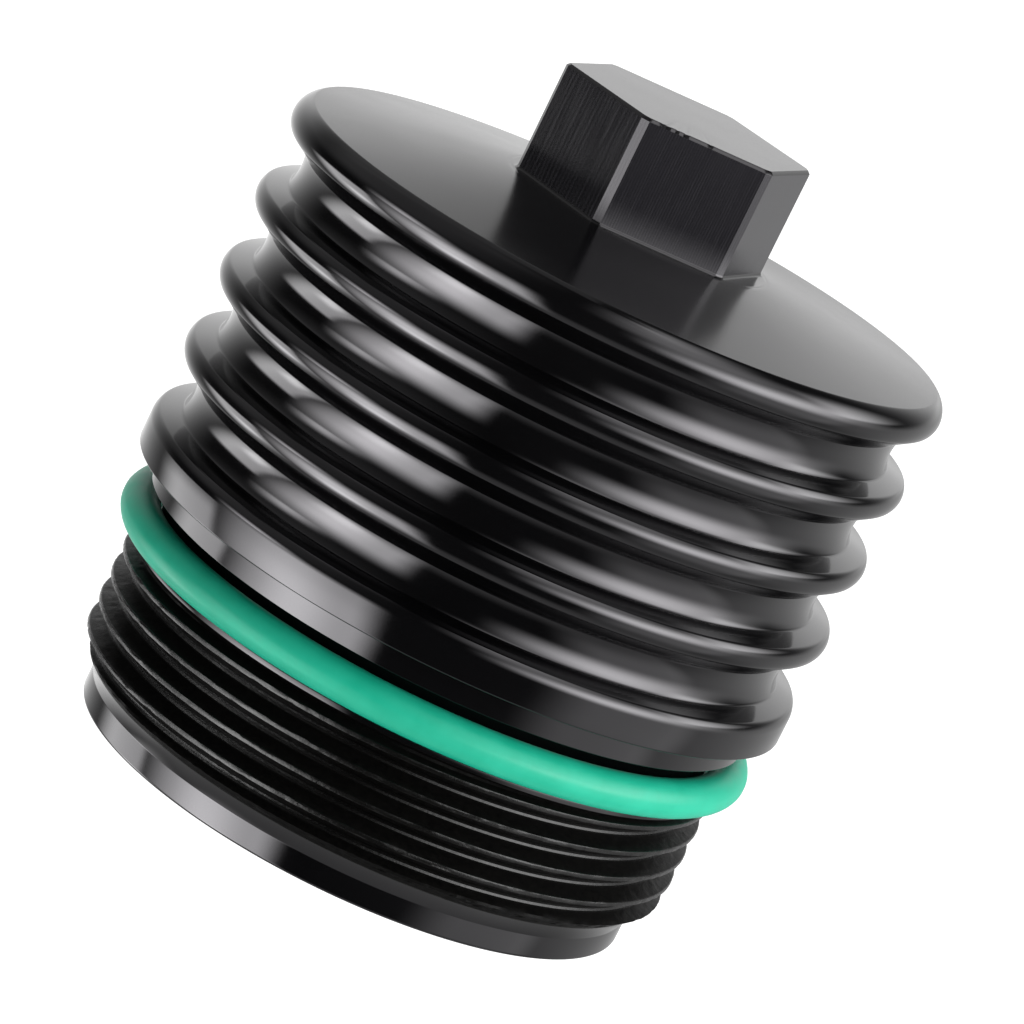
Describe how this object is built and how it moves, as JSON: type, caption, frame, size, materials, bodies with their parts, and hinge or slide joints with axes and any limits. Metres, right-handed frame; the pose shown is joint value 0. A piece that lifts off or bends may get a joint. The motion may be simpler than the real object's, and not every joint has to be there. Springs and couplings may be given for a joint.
{
  "type": "cartridge oil filter module",
  "caption": "Ribbed screw-on oil filter cap with a hexagon drive, green cover O-ring and external thread, carrying a free-turning core with a bypass valve and a pull-off pleated element.",
  "frame": {"origin": "centre of the cap's open rim, in the plane of its face", "axes": "+Z along the cap's axis, from the open rim towards the hexagon; one flat of the hexagon faces -Y"},
  "size_m": [0.108, 0.108, 0.1196],
  "materials": {
    "black_anodised": "black anodised, satin to semi-gloss",
    "green_rubber": "smooth satin",
    "spring_steel": "bright drawn wire and strip",
    "valve_brass": "turned and stamped",
    "core_nylon": "moulded, glass filled",
    "disc_nylon": "moulded, natural",
    "black_rubber": "moulded, matt",
    "filter_paper": "resin-cured filter paper",
    "band_glue": "hot-melt bead"
  },
  "bodies": {
    "cap": {"cap_shell": "black_anodised", "cover_o_ring": "green_rubber", "core_retaining_ring": "spring_steel", "thrust_washer": "valve_brass"},
    "core": {"core_head": "core_nylon", "support_core": "core_nylon", "outlet_seal_ring": "black_rubber", "valve_seat_ring": "valve_brass", "spring_retainer": "valve_brass", "bypass_spring": "spring_steel"},
    "poppet": {"bypass_poppet": "core_nylon", "poppet_seal": "black_rubber"},
    "element": {"lower_end_disc": "disc_nylon", "upper_end_disc": "disc_nylon", "pleated_media": "filter_paper", "seam_clip": "spring_steel", "lower_lip_seal": "black_rubber", "upper_lip_seal": "black_rubber", "pleat_band_lower": "band_glue", "pleat_band_middle": "band_glue", "pleat_band_upper": "band_glue"}
  },
  "joints": [
    {"name": "core_spin", "type": "hinge", "parent": "cap", "child": "core", "pos_m": [0, 0, 0.082], "axis": [0, 0, 1], "continuous": true},
    {"name": "bypass_open", "type": "slide", "parent": "core", "child": "poppet", "axis": [0, 0, -1], "range_m": [0, 0.004], "stiffness_N_per_m": 1600, "springref_m": -0.004, "deforming": ["bypass_spring"]},
    {"name": "element_pull", "type": "slide", "parent": "core", "child": "element", "axis": [0, 0, -1], "range_m": [0, 0.075]}
  ]
}
